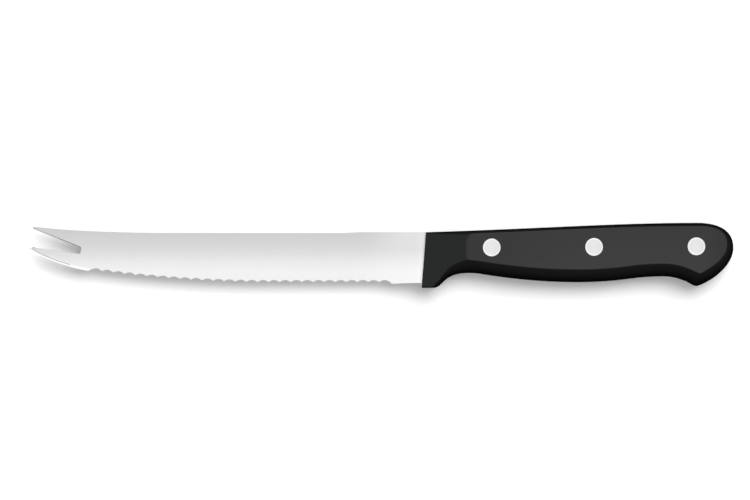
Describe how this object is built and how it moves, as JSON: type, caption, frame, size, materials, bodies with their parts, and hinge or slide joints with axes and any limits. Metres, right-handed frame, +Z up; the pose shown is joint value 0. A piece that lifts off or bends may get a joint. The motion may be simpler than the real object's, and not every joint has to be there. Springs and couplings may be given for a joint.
{
  "type": "tomato knife",
  "caption": "Kitchen knife with a forked tip, a scalloped edge, a full tang and a black riveted handle, for slicing tomatoes and lifting the slices.",
  "frame": {"origin": "under the middle of the knife's box, on the surface it lies on", "axes": "+X from the fork to the butt, +Y from the teeth to the spine, +Z up through the blade's thickness, with the knife lying on the flat of its right scale"},
  "size_m": [0.2496, 0.023, 0.0145],
  "materials": {
    "blade_steel": "satin, ground across the blade",
    "handle_black": "moulded black, fine satin",
    "rivet_metal": "ground flush with the handle"
  },
  "bodies": {
    "root": {"blade": "blade_steel", "left_scale": "handle_black", "right_scale": "handle_black", "front_rivet_pin": "rivet_metal", "middle_rivet_pin": "rivet_metal", "rear_rivet_pin": "rivet_metal", "front_rivet_tube": "rivet_metal", "middle_rivet_tube": "rivet_metal", "rear_rivet_tube": "rivet_metal"}
  },
  "joints": []
}
